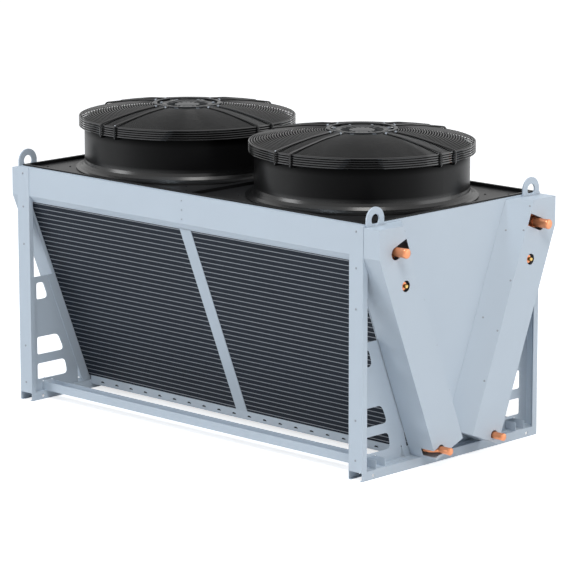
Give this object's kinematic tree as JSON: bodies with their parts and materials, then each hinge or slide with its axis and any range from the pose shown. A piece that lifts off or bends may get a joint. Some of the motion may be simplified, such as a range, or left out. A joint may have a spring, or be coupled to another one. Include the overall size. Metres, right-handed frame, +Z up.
{
  "type": "v-type condenser",
  "caption": "Free-standing air-cooled condenser with two sloping finned coils in a V, pale grey sheet-metal frame, black top deck with caged axial fans and copper pipe stubs at one end.",
  "frame": {"origin": "middle of the footprint, on the floor under the end rails", "axes": "X along the unit toward the pipe end, Y across it toward the back, Z up"},
  "size_m": [2.387, 1.165, 1.414],
  "materials": {
    "housing": "pale blue-grey powder coat, satin",
    "galvanised": "pale grey coated steel plate",
    "deck_black": "black satin powder coat",
    "guard_black": "black coated steel wire",
    "motor_black": "black painted cast housing",
    "blade_black": "black moulded blades",
    "coil_fins": "coated aluminium fins, dark blue-grey",
    "copper_pipe": "drawn copper tube, satin"
  },
  "bodies": {
    "frame": {"base_rail_front": "housing", "base_rail_rear": "housing", "centre_beam": "housing", "coil_divider_front": "housing", "coil_divider_rear": "housing", "coil_top_rail_front": "housing", "coil_top_rail_rear": "housing", "drain_tray_front": "housing", "drain_tray_rear": "housing", "end_beam_left": "housing", "end_beam_right": "housing", "end_panel_left": "housing", "end_panel_right": "housing", "end_rail_left": "housing", "end_rail_right": "housing", "fan_deck_left": "deck_black", "fan_deck_right": "deck_black", "fan_guard_left": "guard_black", "fan_guard_right": "guard_black", "fin_pack_front_left": "coil_fins", "fin_pack_front_right": "coil_fins", "fin_pack_rear_left": "coil_fins", "fin_pack_rear_right": "coil_fins", "gas_header_front": "copper_pipe", "gas_header_rear": "copper_pipe", "gusset_front_left": "housing", "gusset_front_right": "housing", "gusset_rear_left": "housing", "gusset_rear_right": "housing", "header_cover_front": "housing", "header_cover_rear": "housing", "lifting_lug_front_left": "galvanised", "lifting_lug_front_right": "galvanised", "lifting_lug_rear_left": "galvanised", "lifting_lug_rear_right": "galvanised", "liquid_header_front": "copper_pipe", "liquid_header_rear": "copper_pipe", "motor_left": "motor_black", "motor_right": "motor_black", "nozzle_left": "deck_black", "nozzle_right": "deck_black", "plenum_floor": "housing", "post_front_left": "housing", "post_front_right": "housing", "post_rear_left": "housing", "post_rear_right": "housing", "return_cover_front": "housing", "return_cover_rear": "housing", "top_beam_front": "housing", "top_beam_rear": "housing", "tube_sheet_front_left": "galvanised", "tube_sheet_front_right": "galvanised", "tube_sheet_rear_left": "galvanised", "tube_sheet_rear_right": "galvanised"},
    "fan_left": {"impeller_left": "blade_black"},
    "fan_right": {"impeller_right": "blade_black"}
  },
  "joints": [
    {"name": "fan_spin_left", "type": "hinge", "parent": "frame", "child": "fan_left", "pos_m": [-0.555, 0, 1.215], "axis": [0, 0, 1], "continuous": true},
    {"name": "fan_spin_right", "type": "hinge", "parent": "frame", "child": "fan_right", "pos_m": [0.555, 0, 1.215], "axis": [0, 0, 1], "continuous": true}
  ]
}
